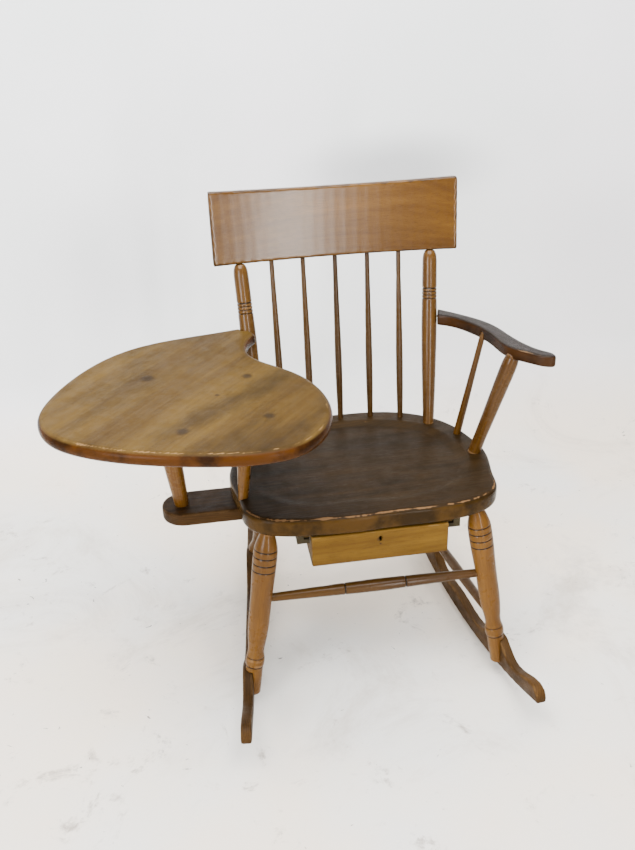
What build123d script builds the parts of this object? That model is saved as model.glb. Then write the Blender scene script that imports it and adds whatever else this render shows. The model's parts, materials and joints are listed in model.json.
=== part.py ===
from build123d import *

import os
from math import atan, cos, degrees, radians, sin, sqrt

# A turned rocking chair with a broad writing tablet on the sitter's right, a plain arm on the
# sitter's left and a small locking drawer that slides under the seat.  Millimetres, +Z up.
# The sitter faces -Y, so -X is the tablet side and +X is the arm side.  While it is built, the chair
# stands with x = 0 on the middle of the seat and z = 0 on the floor; at the end everything moves so
# that the origin is the middle of the footprint, on the floor.

TABLET, ARM = -1, 1                      # side factors: multiply an x by one of them

# Seat plank
SEAT_TOP, SEAT_THICK = 411.0, 37.0
SEAT_EDGE_ROUND = 8.0
SEAT_NARROWING = 0.98                    # the tablet side of the plank over the arm side
DISH_SLOPE = 1.3                         # degrees: the scoop deepens from the front to the back
DISH_SHRINK = 0.88                       # the scoop's floor over its rim
DISH_RIM = 1.0                           # how far the scoop starts above the flat of the plank

# Backrest
STILE_BASE, STILE_TOP = (177.0, 331.0), (191.0, 411.0)
CREST_BOTTOM, CREST_TOP = 758.0, 899.0
CREST_HALF, CREST_THICK = 243.0, 19.0
CREST_RADIUS = 1300.0                    # the rail curves round the sitter's back
CREST_MID_Y, CREST_LEAN = 425.6, 7.1     # middle of the lower edge, and degrees back
CREST_DIP, CREST_ROUND = 5.0, 2.5        # the top edge is lower at the middle
SPINDLE_TOP_X = (-128.0, -65.0, 0.0, 65.0, 128.0)
SPINDLE_BASE_SPREAD = 0.975              # base x over top x
SPINDLE_BASE_Y, SPINDLE_BASE_BOW = 389.0, 0.00142

# Undercarriage: axes of the turned legs, from the seat to the top of the rocker
FRONT_LEG_TOP, FRONT_LEG_FOOT = (196.0, 50.0, 376.0), (239.0, 18.0, 94.0)
REAR_LEG_TOP, REAR_LEG_FOOT = (146.0, 327.0, 376.0), (197.0, 401.0, 92.0)
CHEEK_DROP, CHEEK_LOW = 62.0, 36.0       # the lapped part of a leg: its length and its lower end
LEG_GROOVES = (0.133, 0.179, 0.228, 0.278)
FOOT_GROOVES = (0.934, 1.003)
ROCKER_RADIUS = 1152.0
ROCKER_LOW_Y = 230.8                     # where the rocker touches the floor at rest
ROCKER_THICK, ROCKER_DEPTH = 20.0, 38.0
ROCKER_TOE_Y, ROCKER_TAIL_Y = -159.0, 640.0
ROCKER_PAD_TOP, ROCKER_PAD_FLAT, ROCKER_PAD_HALF, ROCKER_PAD_FALL = 84.0, 12.0, 30.0, 9.0
ROCKER_ROUND, ROCKER_TIP_RADIUS = 3.0, 24.0
ROCKER_TOE_DEPTHS = ((62.0, 31.0), (105.0, 32.0))    # how far before the front foot, and how deep
ROCKER_TAIL_SLIM = (80.0, 36.0)          # how far before the tail's end, and how deep
ROCKER_NOSE_BACK, ROCKER_NOSE_DEPTH = 22.0, 34.0
ROCKER_MID_DEPTH, ROCKER_PAD_CLEAR, ROCKER_TAIL_CLEAR = 40.0, 75.0, 90.0
LAP_OFFSET = 4.0                         # a rocker's inner face stands this far outside the legs' axes
FRONT_STRETCHER_AT = 0.50                # fraction of the leg, from the seat
SIDE_STRETCHER_AT, SIDE_STRETCHER_REAR_Z = 0.87, 104.0
REAR_STRETCHER_Z = 190.0

# Arm
ARM_TOP, ARM_THICK, ARM_ROUND = 641.0, 23.0, 4.0
ARM_POST_BASE, ARM_POST_TOP = (234.0, 193.0), (291.0, 173.0)
ARM_SPINDLE_BASE, ARM_SPINDLE_TOP = (222.0, 272.0), (261.0, 267.0)

# Writing tablet and what carries it
TABLET_TOP, TABLET_THICK, TABLET_ROUND = 636.0, 26.0, 11.0
TABLET_POST_INNER_BASE, TABLET_POST_INNER_TOP = (-232.0, 117.0), (-216.0, 110.0)
TABLET_POST_OUTER_BASE, TABLET_POST_OUTER_TOP = (-347.0, 173.0), (-369.0, 172.0)
OUTRIGGER_THICK = 26.0
OUTRIGGER_OUT, OUTRIGGER_IN = -385.0, -153.0
OUTRIGGER_Y, OUTRIGGER_WIDE = 174.5, 86.0

# Drawer, measured from the plank's top face (z = 0)
DRAWER_MID_X = 6.0                       # it hangs a little towards the arm side
DRAWER_HALF, DRAWER_FRONT_Y, DRAWER_BACK_Y = 127.0, 13.0, 298.0
DRAWER_TOP, DRAWER_LOW = -39.0, -102.0
DRAWER_FRONT_THICK, DRAWER_SIDE_THICK, DRAWER_BOTTOM_THICK = 16.0, 10.0, 6.0
DRAWER_RABBET = 10.0                     # depth of the corner rabbets in the drawer front
BOTTOM_LIFT, GROOVE_DEPTH = 6.0, 5.0
GUIDE_IN, GUIDE_OUT, GUIDE_HIGH = 129.0, 152.0, 20.0
GUIDE_FRONT_Y, GUIDE_BACK_Y = 26.0, 304.0
RUNNER_WIDE, RUNNER_HIGH = 12.0, 9.0
SLIDE_GAP = 0.5
KEYHOLE_HIGH, KEYHOLE_ROUND, KEYHOLE_SLOT = 12.0, 6.0, 4.4

# Lock
LOCK_WIDE, LOCK_HIGH, LOCK_DEEP, LOCK_WALL = 46.0, 34.0, 9.0, 1.5
BOLT_WIDE, BOLT_THICK, BOLT_TRAVEL, BOLT_LONG = 22.0, 4.0, 8.0, 28.0
BOLT_GAP, STRIKE_GAP, STRIKE_DEEP = 0.4, 1.5, 9.0    # room round the bolt, in the case and in the seat
WINDOW_HALF, WINDOW_BELOW, WINDOW_ABOVE = 5.0, 4.0, 3.0   # the bolt's window, about the drill pin

# Joinery
COPE = 7.0                               # extra length that is trimmed to what a piece meets
SOCKET_CLEAR, SOCKET_DEEPER = 0.1, 1.0   # how much wider (each side) and deeper than its tenon
GROOVE_RADIUS, GROOVE_LIFT = 1.9, 0.4    # a ring groove's section, and how far out its centre lies
STRETCHER_INSET = 15.0                   # a stretcher's shoulder lies this far from a leg's axis
GUIDE_SCREW_Y, GUIDE_SCREW_X = (50.0, 160.0, 285.0), 146.0
OUTRIGGER_SCREW_X, OUTRIGGER_SCREW_Y = (-228.0, -172.0), (-26.0, 26.0)
ARM_SCREW_HEAD, TABLET_SCREW_HEAD = (226.0, 366.0), (-178.0, 345.0)
LOCK_SCREW_X = (-19.0, 19.0)
PIN_HEIGHTS = (42.0, 66.0)
DRILL_PIN_RADIUS = 1.2

# Screws: length, shank and head
LAP_PIN = (32.0, 5.0, 10.0)
ARM_SCREW, TABLET_SCREW = (40.0, 4.5, 9.0), (45.0, 4.5, 9.0)
OUTRIGGER_SCREW, GUIDE_SCREW, LOCK_SCREW = (48.0, 5.0, 10.0), (36.0, 4.0, 8.0), (14.0, 2.5, 5.0)
SLOT_HALF, SLOT_DEEP = 0.5, 0.8

SEAT = Pos(0, 0, SEAT_TOP)               # moves a shape from the plank's own level to its place
UP = (0, 0, 1)
BEYOND = 700.0                           # a length that runs clear of the whole chair


def on_seat(x, y, below=0.0):
    """The point at (x, y) on the plank's top face, or that far below it."""
    return (x, y, SEAT_TOP - below)


def mirrored(point, side):
    return (point[0] * side, point[1], point[2])


def between(start, end, fraction):
    return Vector(start) + (Vector(end) - Vector(start)) * fraction


def box_between(low, high):
    """A box from its lowest to its highest corner."""
    size = [high[i] - low[i] for i in range(3)]
    middle = [(high[i] + low[i]) / 2 for i in range(3)]
    return Pos(*middle) * Box(*size)


def rod(start, direction, length, radius):
    """A plain round bar from start along direction."""
    frame = Plane(origin=start, z_dir=direction)
    return frame * Cylinder(radius, length, align=(Align.CENTER, Align.CENTER, Align.MIN))


def turned(start, end, widths, tenons, grooves=(), extra=(COPE, COPE)):
    """A lathe-turned piece from start to end.

    widths is a list of (fraction of the length, diameter).  tenons is a pair of (diameter, length),
    one for each end, or None.  extra is how far the full body runs past start and end, to be coped.
    """
    axis = Vector(end) - Vector(start)
    length = axis.length
    frame = Plane(origin=start, z_dir=axis)
    outline = [(width / 2, fraction * length) for fraction, width in widths]
    low, high = -extra[0], length + extra[1]
    first, last = (outline[0][0], low), (outline[-1][0], high)
    edges = [Line((0, low), first), Line(first, outline[0]), Spline(*outline)]
    edges += [Line(outline[-1], last), Line(last, (0, high)), Line((0, high), (0, low))]
    profile = make_face(Wire(edges))
    for fraction in grooves:
        centre = radius_at(widths, fraction) + GROOVE_LIFT
        profile -= Pos(centre, fraction * length) * Circle(GROOVE_RADIUS)
    return frame * revolve(Plane.XZ * profile, Axis.Z), tenon_pair(start, end, tenons)


def radius_at(widths, fraction):
    """Radius of a turned piece at a fraction of its length, between its listed widths."""
    for (f0, w0), (f1, w1) in zip(widths, widths[1:]):
        if f0 <= fraction <= f1:
            return (w0 + (w1 - w0) * (fraction - f0) / (f1 - f0)) / 2
    return widths[-1][1] / 2


def tenon_pair(start, end, tenons):
    """The round tenons that run past each end of a turned piece."""
    axis = (Vector(end) - Vector(start)).normalized()
    made = []
    for point, outwards, tenon in ((start, -axis, tenons[0]), (end, axis, tenons[1])):
        if tenon is None:
            made.append(None)
            continue
        diameter, length = tenon
        root = Vector(point) - outwards * COPE
        made.append(rod(root, outwards, length + COPE, diameter / 2))
    return made


def socket_for(start, end, tenons, which):
    """The hole that one tenon of a turned piece needs: a little wider and deeper than the tenon."""
    axis = (Vector(end) - Vector(start)).normalized()
    point, outwards = ((start, -axis), (end, axis))[which]
    diameter, length = tenons[which]
    root = Vector(point) - outwards * COPE
    return rod(root, outwards, length + COPE + SOCKET_DEEPER, diameter / 2 + SOCKET_CLEAR)


def fitted(member, tenons, neighbours):
    """Cope a turned body to the pieces it meets, then add its tenons."""
    body = member
    for piece in neighbours:
        body -= piece
    body = largest(body)
    for tenon in tenons:
        if tenon is not None:
            body += tenon
    return largest(body)


def largest(shape):
    return max(shape.solids(), key=lambda solid: solid.volume)


def wood_screw(point, direction, length, shank, head):
    """A countersunk slotted screw whose head lies flush at point and which runs along direction."""
    cone = (head - shank) / 2
    profile = Polyline(
        (0, 0), (head / 2, 0), (shank / 2, cone), (shank / 2, length - shank), (0, length), (0, 0)
    )
    body = revolve(Plane.XZ * make_face(profile), Axis.Z)
    slot = box_between((-head, -SLOT_HALF, -1), (head, SLOT_HALF, SLOT_DEEP))
    frame = Plane(origin=point, z_dir=direction)
    return frame * (body - slot), frame * body


# ---------------------------------------------------------------- seat

def seat_outline():
    """Outline of the plank, a little narrower on the tablet side."""
    half = [
        (0, 10), (110, 12), (181, 22), (218, 39), (240, 68), (246, 108),
        (255, 160), (257, 209), (246, 255), (223, 315), (173, 369), (95, 402), (0, 409),
    ]
    left = [(-x * SEAT_NARROWING, y) for x, y in reversed(half[1:-1])]
    return Spline(*half, *left, periodic=True)


def dish_outline(scale):
    """Outline of the scooped sitting area, shrunk towards its own middle by scale."""
    half = [(0, 48), (120, 54), (194, 100), (221, 195), (207, 262), (163, 325), (86, 360), (0, 372)]
    middle_y = (half[0][1] + half[-1][1]) / 2
    points = half + [(-x, y) for x, y in reversed(half[1:-1])]
    return Spline(*[(x * scale, middle_y + (y - middle_y) * scale) for x, y in points], periodic=True)


def plain_seat():
    """The plank with rounded edges and a scooped top, before any hole is made in it."""
    blank = extrude(make_face(seat_outline()), -SEAT_THICK)
    rims = blank.edges().filter_by(lambda edge: abs(edge.center().Z + SEAT_THICK / 2) > 1)
    blank = fillet(rims, SEAT_EDGE_ROUND)
    rim = Plane.XY.offset(DISH_RIM) * make_face(dish_outline(1.0))
    floor = Rot(-DISH_SLOPE, 0, 0) * make_face(dish_outline(DISH_SHRINK))
    return SEAT * (blank - loft([rim, floor]))


# ---------------------------------------------------------------- turned pieces

FRONT_LEG_WIDTHS = [
    (0.0, 27), (0.045, 31), (0.085, 38), (0.13, 43.5), (0.19, 45.3), (0.28, 44.8), (0.52, 40.5),
    (0.80, 35.5),
    (0.925, 33), (0.945, 35.5), (0.97, 36.5), (0.99, 35.5), (1.01, 33), (1.03, 32.5),
]
REAR_LEG_WIDTHS = [(0.0, 25), (0.10, 29), (0.40, 35), (0.80, 32), (0.97, 30), (1.0, 34), (1.03, 31)]
STILE_WIDTHS = [
    (0.0, 22), (0.10, 24.5), (0.35, 29), (0.60, 31), (0.73, 30), (0.80, 29.5), (0.92, 29), (0.965, 27.5),
    (0.985, 24), (1.0, 17),
]
STILE_GROOVES = (0.731, 0.751, 0.771, 0.790)
SPINDLE_WIDTHS = [(0.0, 11), (0.12, 13), (0.32, 14.5), (0.60, 12.5), (0.85, 9.8), (1.0, 9)]
ARM_POST_WIDTHS = [(0.0, 24.5), (0.30, 25), (0.60, 27.5), (0.85, 29.5), (0.96, 28), (1.0, 25)]
ARM_SPINDLE_WIDTHS = [(0.0, 15), (0.25, 14.5), (0.60, 12.5), (1.0, 11)]
INNER_POST_WIDTHS = [(0.0, 19), (0.25, 24), (0.60, 28), (0.90, 27), (1.0, 24)]
OUTER_POST_WIDTHS = [(0.0, 26), (0.28, 33), (0.60, 37), (0.90, 36), (1.0, 32)]
FRONT_STRETCHER_WIDTHS = [
    (0.0, 15.5), (0.12, 18), (0.34, 22), (0.50, 24), (0.66, 22), (0.88, 18), (1.0, 15.5),
]
STRETCHER_GROOVES = (0.355, 0.645)
PLAIN_STRETCHER_WIDTHS = [(0.0, 15), (0.15, 18), (0.50, 21), (0.85, 18), (1.0, 15)]

LEG_TENONS = ((21, 24), None)
STILE_TENONS = ((16, 26), (12, 34))
SPINDLE_TENONS = ((8, 20), (7, 24))
POST_TENONS = ((15, 24), (14, 15))
THIN_TENONS = ((9, 20), (8, 14))
STRETCHER_TENONS = ((11, 15), (11, 15))


def stile_ends(side):
    top = (STILE_TOP[0] * side, STILE_TOP[1], CREST_BOTTOM)
    return on_seat(STILE_BASE[0] * side, STILE_BASE[1]), top


def spindle_ends(x):
    base_x = x * SPINDLE_BASE_SPREAD
    base_y = SPINDLE_BASE_Y - SPINDLE_BASE_BOW * base_x ** 2
    return on_seat(base_x, base_y), (x, crest_y(x), CREST_BOTTOM)


def crest_y(x):
    """Middle of the crest rail's thickness at x, along its lower edge."""
    return CREST_MID_Y - (CREST_RADIUS - sqrt(CREST_RADIUS ** 2 - x ** 2))


def leg_line(side, rear):
    top, foot = (REAR_LEG_TOP, REAR_LEG_FOOT) if rear else (FRONT_LEG_TOP, FRONT_LEG_FOOT)
    return mirrored(top, side), mirrored(foot, side)


def leg_at_height(side, rear, z):
    top, foot = leg_line(side, rear)
    return between(top, foot, (top[2] - z) / (top[2] - foot[2]))


# ---------------------------------------------------------------- crest rail

def plain_crest():
    """A board bent to an arc, leaning back, its top edge dipping at the middle."""
    outer, inner = CREST_RADIUS + CREST_THICK / 2, CREST_RADIUS - CREST_THICK / 2
    ring = Circle(outer) - Circle(inner)
    band = ring & (Pos(0, CREST_RADIUS) * Rectangle(2 * CREST_HALF, CREST_RADIUS))
    height = (CREST_TOP - CREST_BOTTOM) / cos(radians(CREST_LEAN))
    board = extrude(largest_face(band), height)
    dip_radius = (CREST_HALF ** 2 + CREST_DIP ** 2) / (2 * CREST_DIP)
    dip = Pos(0, CREST_RADIUS, height - CREST_DIP + dip_radius)
    board -= dip * Rot(90, 0, 0) * Cylinder(dip_radius, 4 * CREST_THICK)
    board = largest(board)
    board = fillet(board.edges().filter_by(lambda edge: edge.length > CREST_HALF), CREST_ROUND)
    lean = Plane(origin=(0, CREST_MID_Y, CREST_BOTTOM), x_dir=(1, 0, 0), z_dir=crest_up())
    return lean * Pos(0, -CREST_RADIUS, 0) * board


def largest_face(shape):
    return max(shape.faces(), key=lambda face: face.area)


def crest_up():
    return (0, sin(radians(CREST_LEAN)), cos(radians(CREST_LEAN)))


# ---------------------------------------------------------------- rockers

def rocker_bottom(y):
    """Height of the rocker's lower edge at y."""
    return ROCKER_RADIUS - sqrt(ROCKER_RADIUS ** 2 - (y - ROCKER_LOW_Y) ** 2)


def rocker(side):
    """A bow-shaped board with a raised pad under each leg, toed in towards the back."""
    front_y, rear_y = FRONT_LEG_FOOT[1], REAR_LEG_FOOT[1]
    toe, tail = ROCKER_TOE_Y, ROCKER_TAIL_Y
    low = ThreePointArc(
        (toe, rocker_bottom(toe)), (ROCKER_LOW_Y, 0), (tail, rocker_bottom(tail))
    )

    def top(y, depth=ROCKER_DEPTH):
        return (y, rocker_bottom(y) + depth)

    def pad(middle):
        return [
            (middle - ROCKER_PAD_HALF, ROCKER_PAD_TOP - ROCKER_PAD_FALL),
            (middle - ROCKER_PAD_FLAT, ROCKER_PAD_TOP),
            (middle + ROCKER_PAD_FLAT, ROCKER_PAD_TOP),
            (middle + ROCKER_PAD_HALF, ROCKER_PAD_TOP - ROCKER_PAD_FALL),
        ]

    slim, slim_depth = ROCKER_TAIL_SLIM
    tail_end = [top(tail), top(tail - slim, slim_depth), top(rear_y + ROCKER_TAIL_CLEAR)]
    toe_end = [top(front_y - before, depth) for before, depth in ROCKER_TOE_DEPTHS]
    toe_end += [top(toe + ROCKER_NOSE_BACK, ROCKER_NOSE_DEPTH)]
    rear_pad, front_pad = pad(rear_y), pad(front_y)
    middle = [
        top(rear_y - ROCKER_PAD_CLEAR), top(ROCKER_LOW_Y, ROCKER_MID_DEPTH),
        top(front_y + ROCKER_PAD_CLEAR),
    ]
    upper = [*tail_end, *reversed(rear_pad), *middle, *reversed(front_pad), *toe_end]
    edges = [low, Line((tail, rocker_bottom(tail)), upper[0]), Spline(*upper)]
    edges += [RadiusArc(upper[-1], (toe, rocker_bottom(toe)), -ROCKER_TIP_RADIUS)]
    board = extrude(Plane.YZ * make_face(Wire(edges)), ROCKER_THICK * side)
    board = fillet(board.edges().filter_by(lambda edge: edge.length > ROCKER_PAD_TOP), ROCKER_ROUND)
    return beside_leg(side) * Pos(LAP_OFFSET * side, -front_y, 0) * board


def beside_leg(side):
    """Moves a shape to the front foot and turns it to the line through both feet."""
    return Pos(FRONT_LEG_FOOT[0] * side, FRONT_LEG_FOOT[1], 0) * Rot(0, 0, toe_in(side))


def toe_in(side):
    """Angle of a rocker about Z, in degrees: it runs parallel to the line through both feet."""
    narrowing = FRONT_LEG_FOOT[0] - REAR_LEG_FOOT[0]
    return side * degrees(atan(narrowing / (REAR_LEG_FOOT[1] - FRONT_LEG_FOOT[1])))


def lapped_away(side):
    """Everything outside a rocker's inner face, below the shoulder of the lap."""
    block = box_between((LAP_OFFSET, -BEYOND, -BEYOND), (BEYOND, BEYOND, ROCKER_PAD_TOP))
    return beside_leg(side) * (block if side == ARM else mirror(block, Plane.YZ))


def leg(side, rear):
    """A leg: turned down to its ring, then lapped, so that only its inner part runs on down."""
    ends = leg_line(side, rear)
    widths, grooves = (REAR_LEG_WIDTHS, ()) if rear else (FRONT_LEG_WIDTHS, LEG_GROOVES + FOOT_GROOVES)
    body, tenons = turned(*ends, widths, LEG_TENONS, grooves, extra=(COPE, CHEEK_DROP))
    below_cheek = box_between((-BEYOND, -BEYOND, -BEYOND), (BEYOND, BEYOND, CHEEK_LOW))
    return largest(body - lapped_away(side) - below_cheek), tenons


# ---------------------------------------------------------------- arm and tablet

def plain_arm():
    """A flat arm that sweeps out from the stile and widens to a rounded hand end."""
    inner = [(195, 353), (226, 329), (246, 298), (268, 236), (281, 171), (314, 131)]
    tip = [(337, 113), (350, 112), (352, 126)]
    outer = [(338, 145), (320, 175), (306, 215), (289, 282), (240, 354), (205, 390)]
    curve = Spline(*inner, *tip, *outer)
    face = make_face(Wire([curve, Line(outer[-1], inner[0])]))
    board = extrude(Plane.XY.offset(ARM_TOP - ARM_THICK) * face, ARM_THICK)
    return fillet(board.edges().filter_by(lambda edge: edge.length > 300), ARM_ROUND)


def plain_tablet():
    """A kidney-shaped writing board whose narrow neck reaches back to the stile."""
    rim = [
        (-201, 391), (-265, 377), (-343, 361), (-396, 343), (-455, 304), (-510, 236), (-550, 154),
        (-566, 75), (-545, 8), (-488, -44), (-400, -85), (-300, -112), (-205, -122), (-145, -107),
        (-100, -60), (-79, 10), (-86, 90), (-125, 170), (-172, 223), (-196, 272), (-191, 315),
        (-173, 350),
    ]
    face = make_face(Wire([Spline(*rim), Line(rim[-1], rim[0])]))
    board = extrude(Plane.XY.offset(TABLET_TOP - TABLET_THICK) * face, TABLET_THICK)
    return fillet(board.edges().filter_by(lambda edge: edge.length > 400), TABLET_ROUND)


def outrigger():
    """A board screwed under the seat that carries the outer tablet post past the seat's edge."""
    inner, outer = OUTRIGGER_IN, OUTRIGGER_OUT + OUTRIGGER_WIDE / 2
    plate = Pos((inner + outer) / 2, 0) * Rectangle(inner - outer, OUTRIGGER_WIDE)
    outline = plate + Pos(outer, 0) * Circle(OUTRIGGER_WIDE / 2)
    board = extrude(outline, -OUTRIGGER_THICK)
    board = fillet(board.edges().filter_by(lambda edge: abs(edge.center().Z) < 0.1), 3.0)
    return SEAT * Pos(0, OUTRIGGER_Y, -SEAT_THICK) * board


# ---------------------------------------------------------------- drawer

def keyhole(thickness):
    """The slot for a key, along +Y, centred on its round upper part."""
    low = KEYHOLE_HIGH - KEYHOLE_ROUND / 2
    shape = Circle(KEYHOLE_ROUND / 2) + Pos(0, -low / 2) * Rectangle(KEYHOLE_SLOT, low)
    return extrude(Plane.XZ * shape, -thickness)


KEYHOLE_Z = DRAWER_TOP - 15.0
DRAWER_INNER = DRAWER_HALF - DRAWER_SIDE_THICK
BOTTOM_TOP = DRAWER_LOW + BOTTOM_LIFT + DRAWER_BOTTOM_THICK
DRAWER_BODY_Y = DRAWER_FRONT_Y + DRAWER_FRONT_THICK - DRAWER_RABBET


def drawer_bottom():
    """A thin board let into grooves in the front and sides, running under the back."""
    return box_between(
        (-DRAWER_INNER - GROOVE_DEPTH, DRAWER_BODY_Y, DRAWER_LOW + BOTTOM_LIFT),
        (DRAWER_INNER + GROOVE_DEPTH, DRAWER_BACK_Y, BOTTOM_TOP),
    )


def drawer_front():
    """The show front: rabbeted at both ends for the sides, grooved for the bottom, with a keyhole."""
    back_y = DRAWER_FRONT_Y + DRAWER_FRONT_THICK
    board = box_between((-DRAWER_HALF, DRAWER_FRONT_Y, DRAWER_LOW), (DRAWER_HALF, back_y, DRAWER_TOP))
    board = fillet(board.edges().filter_by(lambda edge: edge.center().Y < DRAWER_FRONT_Y + 0.1), 1.5)
    for side in (TABLET, ARM):
        board -= drawer_side(side, groove=False)
    board -= drawer_bottom()
    return board - Pos(0, DRAWER_FRONT_Y, KEYHOLE_Z) * keyhole(DRAWER_FRONT_THICK)


def drawer_side(side, groove=True):
    low = (DRAWER_INNER, DRAWER_BODY_Y, DRAWER_LOW)
    board = box_between(low, (DRAWER_HALF, DRAWER_BACK_Y, DRAWER_TOP))
    if side == TABLET:
        board = mirror(board, Plane.YZ)
    return board - drawer_bottom() if groove else board


def drawer_back():
    low = (-DRAWER_INNER, DRAWER_BACK_Y - DRAWER_SIDE_THICK, BOTTOM_TOP)
    return box_between(low, (DRAWER_INNER, DRAWER_BACK_Y, DRAWER_TOP))


def drawer_runner(side):
    """The strip along a drawer side's top edge that hangs the drawer on its guide."""
    low = (DRAWER_HALF, GUIDE_FRONT_Y + 6, DRAWER_TOP - RUNNER_HIGH)
    board = box_between(low, (DRAWER_HALF + RUNNER_WIDE, DRAWER_BACK_Y, DRAWER_TOP))
    return board if side == ARM else mirror(board, Plane.YZ)


def drawer_guide(side):
    """An L-shaped cleat under the seat; its lip carries the drawer's runner."""
    low = -SEAT_THICK - GUIDE_HIGH
    block = box_between((GUIDE_IN, GUIDE_FRONT_Y, low), (GUIDE_OUT, GUIDE_BACK_Y, -SEAT_THICK))
    rebate_out = DRAWER_HALF + RUNNER_WIDE + SLIDE_GAP
    rebate_low = DRAWER_TOP - RUNNER_HIGH - SLIDE_GAP
    block -= box_between((0, 0, rebate_low), (rebate_out, GUIDE_BACK_Y - 4, 0))
    return block if side == ARM else mirror(block, Plane.YZ)


LOCK_FACE_Y = DRAWER_FRONT_Y + DRAWER_FRONT_THICK
LOCK_MID_Z = DRAWER_TOP - 2 - LOCK_HIGH / 2
LUG_MID_Z, LUG_HALF = LOCK_MID_Z - 5, 3.0
BOLT_MID_Y = LOCK_FACE_Y + LOCK_DEEP / 2


def lock_case():
    """A thin metal box behind the keyhole, slotted on top for its bolt, with a drill pin inside."""
    half, deep = LOCK_WIDE / 2, LOCK_FACE_Y + LOCK_DEEP
    low, high = LOCK_MID_Z - LOCK_HIGH / 2, LOCK_MID_Z + LOCK_HIGH / 2
    case = box_between((-half, LOCK_FACE_Y, low), (half, deep, high))
    case -= box_between(
        (-half + LOCK_WALL, LOCK_FACE_Y - 1, low + LOCK_WALL),
        (half - LOCK_WALL, deep - LOCK_WALL, high - LOCK_WALL),
    )
    for x in LOCK_SCREW_X:
        lug_low = (x - LUG_HALF, LOCK_FACE_Y, LUG_MID_Z - LUG_HALF)
        case += box_between(lug_low, (x + LUG_HALF, deep - 1, LUG_MID_Z + LUG_HALF))
    case -= bolt_path()
    pin = rod((0, LOCK_FACE_Y + 3, KEYHOLE_Z), (0, 1, 0), LOCK_DEEP - 3, DRILL_PIN_RADIUS)
    return case + pin


def bolt_path():
    """The space that the lock bolt sweeps up through, with a gap all round."""
    half, thick = BOLT_WIDE / 2 + BOLT_GAP, BOLT_THICK / 2 + BOLT_GAP
    top = LOCK_MID_Z + LOCK_HIGH / 2
    low = (-half, BOLT_MID_Y - thick, top - 2 * LOCK_WALL)
    return box_between(low, (half, BOLT_MID_Y + thick, top + BOLT_LONG))


def lock_bolt():
    """A flat bolt that the key lifts; a window at its foot clears the drill pin."""
    half, thick = BOLT_WIDE / 2, BOLT_THICK / 2
    top = LOCK_MID_Z + LOCK_HIGH / 2
    bolt = box_between((-half, BOLT_MID_Y - thick, top - BOLT_LONG), (half, BOLT_MID_Y + thick, top))
    low = (-WINDOW_HALF, BOLT_MID_Y - WINDOW_HALF, KEYHOLE_Z - BOLT_TRAVEL - WINDOW_BELOW)
    return bolt - box_between(low, (WINDOW_HALF, BOLT_MID_Y + WINDOW_HALF, KEYHOLE_Z + WINDOW_ABOVE))


def strike_mortise():
    """The slot in the seat's underside that the raised bolt enters."""
    half, thick = BOLT_WIDE / 2 + STRIKE_GAP, BOLT_THICK / 2 + STRIKE_GAP
    low = (-half, BOLT_MID_Y - thick, -SEAT_THICK - 1)
    return box_between(low, (half, BOLT_MID_Y + thick, STRIKE_DEEP - SEAT_THICK))


# ---------------------------------------------------------------- assembly

parts = {}
SIDES = ((TABLET, "tablet_side"), (ARM, "arm_side"))


def cut(name, tool):
    """Take a tool's shape out of a piece that is already made."""
    parts[name] = largest(parts[name] - tool)


def fit_turned(name, ends, widths, tenons, hosts, grooves=()):
    """Turn a piece, cope it to the two hosts it joins, and bore their sockets."""
    body, pegs = turned(*ends, widths, tenons, grooves)
    parts[name] = fitted(body, pegs, [parts[host] for host in hosts])
    for which, host in enumerate(hosts):
        cut(host, socket_for(*ends, tenons, which))


def fix_with_screws(name, screws, *hosts):
    """Drive a group of like screws, each given as (place, direction, length, shank, head)."""
    made = []
    for screw in screws:
        body, room = wood_screw(*screw)
        made.append(body)
        for host in hosts:
            cut(host, room)
    parts[name] = Compound(made)


def build_back():
    for side, label in SIDES:
        fit_turned(
            f"back_stile_{label}", stile_ends(side), STILE_WIDTHS, STILE_TENONS,
            ("seat_plank", "crest_rail"), STILE_GROOVES,
        )
    for number, x in enumerate(SPINDLE_TOP_X, start=1):
        fit_turned(
            f"back_spindle_{number}", spindle_ends(x), SPINDLE_WIDTHS, SPINDLE_TENONS,
            ("seat_plank", "crest_rail"),
        )


def build_arm():
    """The arm laps onto its stile and stands on a thick post and a thin spindle."""
    parts["armrest"] = largest(plain_arm() - parts["back_stile_arm_side"])
    under = ARM_TOP - ARM_THICK
    hosts = ("seat_plank", "armrest")
    post = on_seat(*ARM_POST_BASE), (*ARM_POST_TOP, under)
    fit_turned("arm_post", post, ARM_POST_WIDTHS, POST_TENONS, hosts)
    spindle = on_seat(*ARM_SPINDLE_BASE), (*ARM_SPINDLE_TOP, under)
    fit_turned("arm_spindle", spindle, ARM_SPINDLE_WIDTHS, THIN_TENONS, hosts)
    start = Vector(*ARM_SCREW_HEAD, ARM_TOP - ARM_THICK / 2)
    screw = (start, stile_middle(ARM, start.Z) - start, *ARM_SCREW)
    fix_with_screws("arm_screw", [screw], "armrest", "back_stile_arm_side")


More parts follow.
